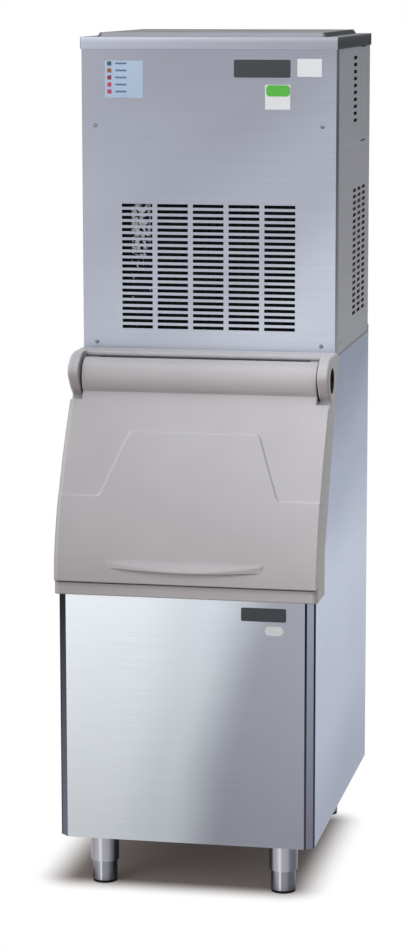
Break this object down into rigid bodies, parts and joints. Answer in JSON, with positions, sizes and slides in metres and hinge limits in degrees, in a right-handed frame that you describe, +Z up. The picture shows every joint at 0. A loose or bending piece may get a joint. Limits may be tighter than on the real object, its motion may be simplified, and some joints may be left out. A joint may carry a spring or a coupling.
{
  "type": "nugget ice machine",
  "caption": "Nugget ice machine head with a slotted stainless front, standing on an insulated storage bin with a tilt-up moulded door and levelling legs",
  "frame": {"origin": "on the floor under the middle of the whole machine, in plan", "axes": "+X to the right as seen from the front, +Y to the back, +Z up; the front faces -Y"},
  "size_m": [0.572, 0.816, 1.851],
  "materials": {
    "stainless": "brushed",
    "galvanised": "satin",
    "screw_steel": "polished",
    "door_plastic": "satin",
    "liner_plastic": "satin",
    "foam": "matte",
    "black_plastic": "satin",
    "fan_metal": "satin",
    "motor_paint": "satin",
    "finned_aluminium": "satin",
    "cast_housing": "cast",
    "copper": "satin",
    "brass": "satin",
    "rubber": "matte",
    "lens": "gloss"
  },
  "bodies": {
    "cabinet": {"barrel_jacket": "foam", "bin_bottom_panel": "galvanised", "bin_drain_fitting": "black_plastic", "bin_foam": "foam", "bin_liner": "liner_plastic", "bin_rear_panel": "galvanised", "bin_shell": "stainless", "bin_top_deck": "stainless", "compressor": "motor_paint", "compressor_grommets": "rubber", "condenser_core": "finned_aluminium", "control_box": "galvanised", "control_cover": "galvanised", "copper_lines": "copper", "cord_gland": "black_plastic", "corner_posts": "galvanised", "cross_rail": "galvanised", "drain_spigot": "black_plastic", "fan_bracket": "galvanised", "fan_motor": "motor_paint", "fan_shroud": "black_plastic", "filter_drier": "motor_paint", "freezing_barrel": "stainless", "front_panel_screws": "screw_steel", "gear_motor": "cast_housing", "head_base_pan": "galvanised", "head_front_panel": "stainless", "head_left_panel": "stainless", "head_rear_panel": "galvanised", "head_right_panel": "stainless", "head_top_lid": "stainless", "hinge_pin_left": "black_plastic", "hinge_pin_right": "black_plastic", "hood_frame": "door_plastic", "ice_breaker": "liner_plastic", "ice_chute": "liner_plastic", "indicator_lenses": "lens", "leg_front_left": "stainless", "leg_front_right": "stainless", "leg_rear_left": "stainless", "leg_rear_right": "stainless", "level_sensors": "black_plastic", "rear_trim": "black_plastic", "tank_lid": "liner_plastic", "water_hose": "rubber", "water_inlet": "brass", "water_tank": "liner_plastic"},
    "door": {"door_shell": "door_plastic", "door_inner_panel": "door_plastic"},
    "fan": {"fan_blades": "fan_metal"},
    "auger_body": {"auger": "stainless"},
    "float_body": {"float_arm": "liner_plastic"},
    "foot_front_left_body": {"foot_front_left": "stainless", "pad_front_left": "black_plastic"},
    "foot_front_right_body": {"foot_front_right": "stainless", "pad_front_right": "black_plastic"},
    "foot_rear_left_body": {"foot_rear_left": "stainless", "pad_rear_left": "black_plastic"},
    "foot_rear_right_body": {"foot_rear_right": "stainless", "pad_rear_right": "black_plastic"}
  },
  "joints": [
    {"name": "door_hinge", "type": "hinge", "parent": "cabinet", "child": "door", "pos_m": [0, -0.199, 1.113], "axis": [-1, 0, 0], "range_deg": [0, 150]},
    {"name": "fan_spin", "type": "hinge", "parent": "cabinet", "child": "fan", "pos_m": [0, -0.024, 1.337], "axis": [0, 1, 0], "continuous": true},
    {"name": "auger_spin", "type": "hinge", "parent": "cabinet", "child": "auger_body", "pos_m": [0.15, 0.271, 1.456], "axis": [0, 0, 1], "continuous": true},
    {"name": "float_pivot", "type": "hinge", "parent": "cabinet", "child": "float_body", "pos_m": [0.2618, 0.071, 1.581], "axis": [0, 1, 0], "range_deg": [0, 20]},
    {"name": "level_front_left", "type": "slide", "parent": "cabinet", "child": "foot_front_left_body", "axis": [0, 0, -1], "range_m": [0, 0.025]},
    {"name": "level_front_right", "type": "slide", "parent": "cabinet", "child": "foot_front_right_body", "axis": [0, 0, -1], "range_m": [0, 0.025]},
    {"name": "level_rear_left", "type": "slide", "parent": "cabinet", "child": "foot_rear_left_body", "axis": [0, 0, -1], "range_m": [0, 0.025]},
    {"name": "level_rear_right", "type": "slide", "parent": "cabinet", "child": "foot_rear_right_body", "axis": [0, 0, -1], "range_m": [0, 0.025]}
  ]
}
